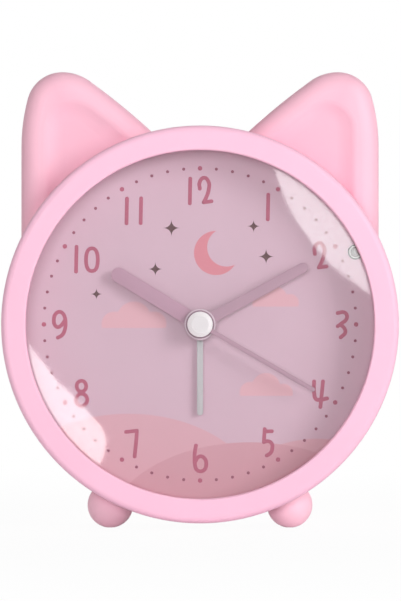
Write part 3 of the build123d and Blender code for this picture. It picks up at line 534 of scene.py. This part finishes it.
caseLook = {**pinkLook, "colour": tint(253, 198, 215), "shade": tint(249, 192, 210)}
pinkCase = mouldedPlastic("pinkCase", caseLook, earShadeAndSeam)
# painted light: the feet get a paler copy of the pink, lifting the shade under the ring
footLightenedLook = {**pinkLook, "colour": tint(254, 207, 222), "shade": tint(251, 201, 217)}
pinkFootLightened = mouldedPlastic("pinkFootLightened", footLightenedLook)
finishes = {
    "pink_plastic": mouldedPlastic("pinkPlastic", pinkLook),
    "lens_clear": clearDome(),
    "dial_card": printedCard(),
    "hand_mauve": mouldedPlastic("mauvePaint", plain((187, 148, 168), (182, 143, 163), 0.5, 0.3, 0.04)),
    "hand_grey": mouldedPlastic("palePaint", plain((192, 192, 194), (186, 186, 188), 0.5, 0.3, 0.04)),
    "cap_white": mouldedPlastic("capWhite", capPaint, capFlatShade),
    "lamp_clear": lampGlass(),
    "holder_grey": mouldedPlastic("holderGrey", holderPaint, holderRim),
    "control_rose": mouldedPlastic("controlRose", plain((226, 150, 172), (218, 140, 163), 0.42, 0.4, 0.06)),
    "movement_black": mouldedPlastic("movementBlack", plain((38, 38, 40), (30, 30, 32), 0.55, 0.4, 0.12)),
    "movement_grey": mouldedPlastic("movementGrey", plain((150, 152, 154), (138, 140, 143), 0.5, 0.4, 0.1)),
    "gear_white": mouldedPlastic("gearWhite", plain((232, 230, 222), (222, 220, 210), 0.4, 0.45, 0.04)),
    "magnet_dark": drawnMetal("magnetDark", magnetLook),
    "steel": drawnMetal("springSteel", steelLook),
    "copper": woundWire(),
    "board_green": boardLacquer(),
    "component_black": mouldedPlastic("componentBlack", plain((34, 34, 36), (26, 26, 28), 0.6, 0.35, 0.15)),
    "battery_can": batterySleeve(),
    "lead_cover": mouldedPlastic("leadCover", plain((196, 60, 58), (176, 48, 48), 0.5, 0.35, 0.05)),
}
caseNodes = ("front_case", "rear_case", "battery_door", "snooze_button")
for name, node in nodes.items():
    finish = finishes[slotOf[name]]
    if name in caseNodes:
        finish = pinkCase
    elif name.startswith("foot_"):
        finish = pinkFootLightened
    node.data.materials.clear()
    node.data.materials.append(finish)
print("finishes laid on", len(nodes), "nodes")


# a finished mesh becomes a piece that rides on a body
def settle(shape, name, body, finish, replacing=(), crease=35):
    mesh = bpy.data.meshes.new(name)
    shape.to_mesh(mesh)
    shape.free()
    mesh.polygons.foreach_set("use_smooth", [True] * len(mesh.polygons))
    mesh.set_sharp_from_angle(angle=radians(crease))
    mesh.materials.append(finish)
    piece = bpy.data.objects.new(name, mesh)
    scene.collection.objects.link(piece)
    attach(piece, body)
    if replacing:
        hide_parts(*replacing)


# printed numbers, drawn as thin round-ended strokes: millimetres about each digit's own middle
numberLook = {
    "ink": (180, 93, 120),
    "inkDeep": (171, 86, 112),
    "stroke": 0.56,
    "dialDepth": 13.2,
    "thick": 0.05,
    "digits": {
        "0": [((0, 3.2), (1.65, 0.1), (0, -3.2), (-1.65, 0.1), "closed")],
        "1": [((0.08, 3.45), (-0.06, -3.45))],
        "2": [
            (
                (-1.57, 0.4), (-1.65, 2.07), (-0.39, 3.44), (0.9, 2.27), (0.98, 0.5), (0.39, -1.68),
                (-0.48, -3.44),
            ),
            ((-0.48, -3.44), (1.68, -3.14)),
        ],
        "3": [
            ((-1.26, 3.3), (0.48, 3.5), (1.29, 2.74), (1.12, 1.48), (-0.03, 0.5), (-1.26, -0.39)),
            ((-0.34, -0.06), (0.62, -1.0), (0.87, -2.13), (-0.39, -3.5)),
        ],
        "4": [
            ((-1.82, 3.58), (-1.82, 0.34), (-1.2, -1.43), (0.11, -1.51), (1.79, -1.18)),
            ((0.67, 3.58), (-0.06, -3.55)),
        ],
        "5": [
            ((-0.95, 3.69), (-1.18, 0.14)),
            ((-0.78, 3.05), (1.04, 3.1)),
            ((-1.18, 0.08), (0.06, 0.31), (1.04, -0.39), (1.18, -1.57), (0.7, -2.97), (-0.36, -3.69)),
        ],
        "6": [
            (
                (-1.26, 3.61), (-1.57, 1.74), (-1.65, -0.03), (-1.57, -1.51), (-1.01, -3.13), (0, -3.58),
                (1.12, -3.13), (1.64, -1.51), (1.29, -0.14), (0.24, 0.62), (-0.64, 0.36), (-1.32, -0.64),
            )
        ],
        "7": [((-1.51, 3.27), (1.48, 3.58)), ((1.48, 3.58), (1.37, 1.57), (0.85, -3.58))],
        "8": [
            ((-0.03, 3.53), (1.3, 2.02), (-0.03, 0.5), (-1.36, 2.02), "closed"),
            ((0.03, -0.08), (1.6, -1.79), (0.03, -3.5), (-1.54, -1.79), "closed"),
        ],
        "9": [
            (
                (1.37, 1.04), (0.39, -0.22), (-0.56, -0.67), (-1.4, 0.06), (-1.62, 1.46), (-1.23, 2.85),
                (-0.17, 3.61), (0.81, 3.22), (1.46, 2.02), (1.65, 0.76), (1.6, -0.64), (1.29, -1.9),
                (0.53, -3.05), (-0.5, -3.61),
            )
        ],
    },
    "set": [
        ("1", -2.8, 37.35), ("2", 1.51, 37.62), ("1", 19.03, 32.86), ("2", 33.73, 19.37),
        ("3", 39.8, -0.11), ("4", 33.76, -19.54), ("5", 19.06, -33.0), ("6", 0.11, -37.54),
        ("7", -19.17, -33.36), ("8", -33.17, -19.31), ("9", -39.3, -0.08), ("1", -34.65, 18.25),
        ("0", -30.26, 18.11), ("1", -20.53, 31.77), ("1", -16.56, 31.82),
    ],
}
strokes = bpy.data.curves.new("strokes", "CURVE")
strokes.dimensions = "3D"
strokes.bevel_depth = numberLook["stroke"] * mm
strokes.bevel_resolution = 3
strokes.resolution_u = 6
ends = []
for digit, across, rise in numberLook["set"]:
    for stroke in numberLook["digits"][digit]:
        closed = stroke[-1] == "closed"
        bends = stroke[:-1] if closed else stroke
        points = [spot(across + x, numberLook["dialDepth"], rise + z) for x, z in bends]
        line = strokes.splines.new("BEZIER")
        line.bezier_points.add(len(points) - 1)
        line.use_cyclic_u = closed
        for knot, point in zip(line.bezier_points, points):
            knot.co = point
            knot.handle_left_type = knot.handle_right_type = "AUTO"
        if not closed:
            ends += [points[0], points[-1]]
drawn = bpy.data.objects.new("strokes", strokes)
scene.collection.objects.link(drawn)
numbers = bmesh.new()
ready = drawn.evaluated_get(bpy.context.evaluated_depsgraph_get())
numbers.from_mesh(bpy.data.meshes.new_from_object(ready))
bpy.data.objects.remove(drawn)
for point in ends:
    bmesh.ops.create_uvsphere(
        numbers, u_segments=12, v_segments=8, radius=numberLook["stroke"] * mm,
        matrix=Matrix.Translation(point),
    )
flat = Matrix.Diagonal((1, numberLook["thick"] / numberLook["stroke"], 1, 1))
dialPlane = Matrix.Translation(spot(0, numberLook["dialDepth"], 0))
bmesh.ops.transform(numbers, matrix=dialPlane @ flat @ dialPlane.inverted(), verts=numbers.verts)
ink = mouldedPlastic("roseInk", plain(numberLook["ink"], numberLook["inkDeep"], 0.55, 0.25, 0.03))
settle(numbers, "numberPrint", "case", ink)

# small minute dots, and larger ones at the hours in the numbers' ink
dotLook = {"ring": 43.7, "small": 0.46, "large": 0.68, "thick": 0.04}
dots = {"small": bmesh.new(), "large": bmesh.new()}
for minute in range(60):
    angle = radians(6 * minute)
    size = "small" if minute % 5 else "large"
    radius = dotLook[size] * mm
    place = spot(dotLook["ring"] * sin(angle), numberLook["dialDepth"], dotLook["ring"] * cos(angle))
    turn = Matrix.Translation(place) @ Matrix.Rotation(radians(90), 4, "X")
    bmesh.ops.create_cone(
        dots[size], cap_ends=True, segments=16, radius1=radius, radius2=radius * 0.9,
        depth=2 * dotLook["thick"] * mm, matrix=turn,
    )
dotInk = mouldedPlastic("dotInk", plain((150, 81, 104), (140, 74, 96), 0.55, 0.25, 0.03))
settle(dots["small"], "minuteDots", "case", dotInk)
settle(dots["large"], "hourDots", "case", ink)
print("dial print laid")


# each hand keeps its solid's outline, and gets a fine rounded front edge
def softEdged(node, width):
    shape = bmesh.new()
    shape.from_mesh(nodes[node].data)
    bmesh.ops.remove_doubles(shape, verts=shape.verts, dist=1e-6)
    bmesh.ops.dissolve_limit(shape, angle_limit=radians(1), verts=shape.verts, edges=shape.edges)
    front = min(vertex.co.y for vertex in shape.verts)
    rim = [
        edge for edge in shape.edges
        if len(edge.link_faces) == 2
        and edge.calc_face_angle() > radians(50)
        and all(abs(vertex.co.y - front) < 1e-6 for vertex in edge.verts)
    ]
    bmesh.ops.bevel(
        shape, geom=rim, offset=width * mm, affect="EDGES", segments=2, profile=0.5, material=-1,
        clamp_overlap=True,
    )
    return shape


# rings on the minute hand's boss, by radius: a painted shadow of the cap and a pale edge
bossLook = {
    "shade": 3.8,
    "rimInner": 3.97,
    "rimOuter": 4.3,
    "shadeColour": tint(128, 102, 117),
    "rimColour": tint(216, 199, 209),
}


def bossShadowAndRim(recipe, place, colour, height):
    # painted shadow: a dark ring round the cap, where the cap's shadow falls on the boss, and a pale edge
    # round the boss
    across, _, rise = recipe.axes(place)
    shade = inside(ringGap(across, rise, (0, 0), bossLook["shade"]), 0.3)
    rim = inside(ringGap(across, rise, (0, 0), bossLook["rimOuter"]), 0.2)
    rim = rim - inside(ringGap(across, rise, (0, 0), bossLook["rimInner"]), 0.2)
    colour = recipe.blend(shade, colour, bossLook["shadeColour"])
    return recipe.blend(rim, colour, bossLook["rimColour"]), height


handEdge = 0.12
# painted shade: the minute and second hands get a darker copy of the hour hand's mauve
shadedHandPaint = plain((176, 141, 158), (170, 136, 153), 0.5, 0.3, 0.04)
handLook = {
    "hour_hand": ("hour", finishes["hand_mauve"]),
    "minute_hand": ("minute", mouldedPlastic("minutePaint", shadedHandPaint, bossShadowAndRim)),
    "second_hand": ("second", mouldedPlastic("secondPaint", shadedHandPaint)),
    "alarm_hand": ("alarm", finishes["hand_grey"]),
}
for node, (body, paint) in handLook.items():
    settle(softEdged(node, handEdge), body + "HandPainted", body, paint, (node,))

# hub cap: flat middle, sloped rim
cap = bmesh.new()
profile = [
    (0, capLook["front"]), (capLook["flat"], capLook["front"]), (capLook["rim"], capLook["slopeBack"]),
    (capLook["radius"], capLook["sideFront"]), (capLook["radius"], capLook["back"]), (0, capLook["back"]),
]
line = [cap.verts.new(spot(radius, depth, 0)) for radius, depth in profile]
edges = [cap.edges.new(pair) for pair in zip(line, line[1:])]
bmesh.ops.spin(
    cap, geom=line + edges, cent=spot(0, 0, 0), axis=(0, 1, 0), angle=2 * pi, steps=capLook["steps"],
    use_merge=True,
)
bmesh.ops.remove_doubles(cap, verts=cap.verts, dist=1e-6)
bmesh.ops.recalc_face_normals(cap, faces=cap.faces)
settle(cap, "hubCapTurned", "second", finishes["cap_white"], ("hub_cap",), 20)
print("hands and cap dressed")

# raised marks on the back: a turning arrow over each knob, a bar and a ring beside the switch
markLook = {
    "back": 47.3,
    "height": 0.3,
    "width": 0.7,
    "arrows": [(15.625, 0.0, 9.4, 55.0, 80.0), (-15.625, 0.0, 8.4, 55.0, 80.0)],
    "head": 1.7,
    "headHeight": 0.36,
    "bar": (21.0, 18.6, 2.4),
    "ring": (27.0, 18.6, 1.1),
}


def raisedArc(shape, across, rise, radius, start, sweep):
    # a small square section, turned about the knob's axis
    square = []
    for gap, depth in ((-0.5, 0), (0.5, 0), (0.5, 1), (-0.5, 1)):
        far = radius + gap * markLook["width"]
        back = markLook["back"] + depth * markLook["height"]
        corner = spot(across + far * cos(radians(start)), back, rise + far * sin(radians(start)))
        square.append(shape.verts.new(corner))
    loop = [shape.edges.new((square[i], square[(i + 1) % 4])) for i in range(4)]
    full = sweep >= 360
    made = bmesh.ops.spin(
        shape, geom=square + loop, cent=spot(across, 0, rise), axis=(0, -1, 0), angle=radians(sweep),
        steps=max(12, int(sweep / 5)), use_merge=full,
    )
    if not full:
        last = [edge for edge in made["geom_last"] if isinstance(edge, bmesh.types.BMEdge)]
        bmesh.ops.edgeloop_fill(shape, edges=loop)
        bmesh.ops.edgeloop_fill(shape, edges=last)


marks = bmesh.new()
for across, rise, radius, start, sweep in markLook["arrows"]:
    raisedArc(marks, across, rise, radius, start, sweep)
    end = radians(start + sweep)
    back = markLook["back"] + markLook["headHeight"] / 2
    tip = spot(across + radius * cos(end), back, rise + radius * sin(end))
    turn = Matrix.Translation(tip) @ Matrix.Rotation(-end, 4, "Y") @ Matrix.Rotation(radians(90), 4, "X")
    bmesh.ops.create_cone(
        marks, cap_ends=True, segments=3, radius1=markLook["head"] * mm, radius2=markLook["head"] * mm,
        depth=markLook["headHeight"] * mm, matrix=turn,
    )
across, rise, radius = markLook["ring"]
raisedArc(marks, across, rise, radius, 0, 360)
across, rise, length = markLook["bar"]
barSize = Matrix.Diagonal((markLook["width"] * mm, markLook["height"] * mm, length * mm, 1))
barPlace = Matrix.Translation(spot(across, markLook["back"] + markLook["height"] / 2, rise))
bmesh.ops.create_cube(marks, size=1, matrix=barPlace @ barSize)
bmesh.ops.recalc_face_normals(marks, faces=marks.faces)
settle(marks, "backMarks", "case", finishes["control_rose"])
print("back marks raised")

# studio: pale floor, white surround, soft lamps at the upper right, in front and behind
# each lamp: place in metres, width, power
studio = {
    "lamps": {
        "key": (0.80, -0.85, 0.38, 0.60, 6.9),
        "fill": (-0.13, -1.40, 0.17, 0.46, 7.9),
        "back": (0.10, 1.20, 0.35, 0.90, 11.0),
    },
    "ambient": 0.25,
    "floorSize": 6.0,
    "floorColour": tint(246, 243, 244),
    "floorNear": 0.12,  # the floor fades to full white from here on
    "floorFade": 0.25,
    "floorWhite": 0.96,
}
pureWhite = (1.0, 1.0, 1.0, 1.0)
aim = Vector((0, 0, axisZ))
for name, (x, y, z, size, power) in studio["lamps"].items():
    lampData = bpy.data.lights.new(name, "AREA")
    lampData.shape = "DISK"
    lampData.size = size
    lampData.energy = power
    lamp = bpy.data.objects.new(name, lampData)
    lamp.location = (x, y, z)
    lamp.rotation_euler = (aim - lamp.location).to_track_quat("-Z", "Y").to_euler()
    lamp.visible_glossy = name == "key"
    scene.collection.objects.link(lamp)


# 1 for what the camera sees, straight or in gloss and glass
def seenDirectly(recipe):
    path = recipe.step("ShaderNodeLightPath").socket.node.outputs
    rays = [Wire(recipe, path[key]) for key in ("Is Camera Ray", "Is Glossy Ray", "Is Transmission Ray")]
    return rays[0].most(rays[1]).most(rays[2])


floor = bmesh.new()
bmesh.ops.create_grid(floor, x_segments=1, y_segments=1, size=studio["floorSize"])
floorMesh = bpy.data.meshes.new("floor")
floor.to_mesh(floorMesh)
floor.free()
floorRecipe = Recipe("paleFloor")
floorPlace = floorRecipe.step("ShaderNodeTexCoord", out="Object")
floorAcross, floorDeep, _ = floorRecipe.axes(floorPlace)
reach = (floorAcross ** 2 + floorDeep ** 2) ** 0.5
away = ((reach - studio["floorNear"]) / studio["floorFade"]).held()
lit = floorRecipe.step("ShaderNodeBsdfDiffuse", {}, {"Color": studio["floorColour"]})
white = floorRecipe.step("ShaderNodeEmission", {}, {"Color": pureWhite, "Strength": 1.0})
share = seenDirectly(floorRecipe) * (studio["floorWhite"] + away * (1 - studio["floorWhite"]))
mixed = floorRecipe.step("ShaderNodeMixShader", {}, {0: share, 1: lit, 2: white})
floorMesh.materials.append(floorRecipe.done(mixed))
floorPiece = bpy.data.objects.new("floor", floorMesh)
scene.collection.objects.link(floorPiece)
floorPiece.visible_glossy = False  # gloss sees the white surround in its place

world = bpy.data.worlds.new("studio")
scene.world = world
air = Recipe("studio", world)
dim = air.step("ShaderNodeBackground", {}, {"Color": pureWhite, "Strength": studio["ambient"]})
bright = air.step("ShaderNodeBackground", {}, {"Color": pureWhite, "Strength": 1.0})
mixed = air.step("ShaderNodeMixShader", {}, {0: seenDirectly(air), 1: dim, 2: bright})
air.done(mixed, "ShaderNodeOutputWorld")

# two bright panels in front, which show only as reflections: strength, and outline as seen on the dome
panelLook = {
    "ahead": 0.88,
    "spread": 4.42,
    "panels": {
        "panelRight": (
            7.1,
            [
                (18.4, 44.6), (20.6, 40.0), (23.3, 34.8), (26.6, 29.3), (31.4, 22.5), (35.8, 17.3),
                (40.9, 12.2), (47.5, 6.0), (58.0, -3.5), (62.0, 30.0), (40.0, 58.0), (16.0, 54.0),
            ],
        ),
        "panelLeft": (
            7.6,
            [
                (-46.7, -4.0), (-38.8, -16.0), (-35.3, -19.6), (-30.6, -25.1), (-27.2, -28.7),
                (-25.8, -32.3), (-25.8, -35.1), (-27.4, -39.5), (-34.0, -52.0), (-60.0, -40.0),
                (-58.0, -2.0),
            ],
        ),
    },
}
for name, (strength, outline) in panelLook["panels"].items():
    sheet = bmesh.new()
    corners = []
    for x, z in outline:
        corner = spot(x * panelLook["spread"], 0, z * panelLook["spread"])
        corner.y -= panelLook["ahead"]
        corners.append(sheet.verts.new(corner))
    sheet.faces.new(corners)
    mesh = bpy.data.meshes.new(name)
    sheet.to_mesh(mesh)
    sheet.free()
    glow = Recipe(name)
    shine = glow.step("ShaderNodeEmission", {}, {"Color": pureWhite, "Strength": strength})
    mesh.materials.append(glow.done(shine))
    panel = bpy.data.objects.new(name, mesh)
    scene.collection.objects.link(panel)
    panel.visible_camera = False
    panel.visible_diffuse = False
    panel.visible_transmission = False
    panel.visible_shadow = False
print("studio lit")
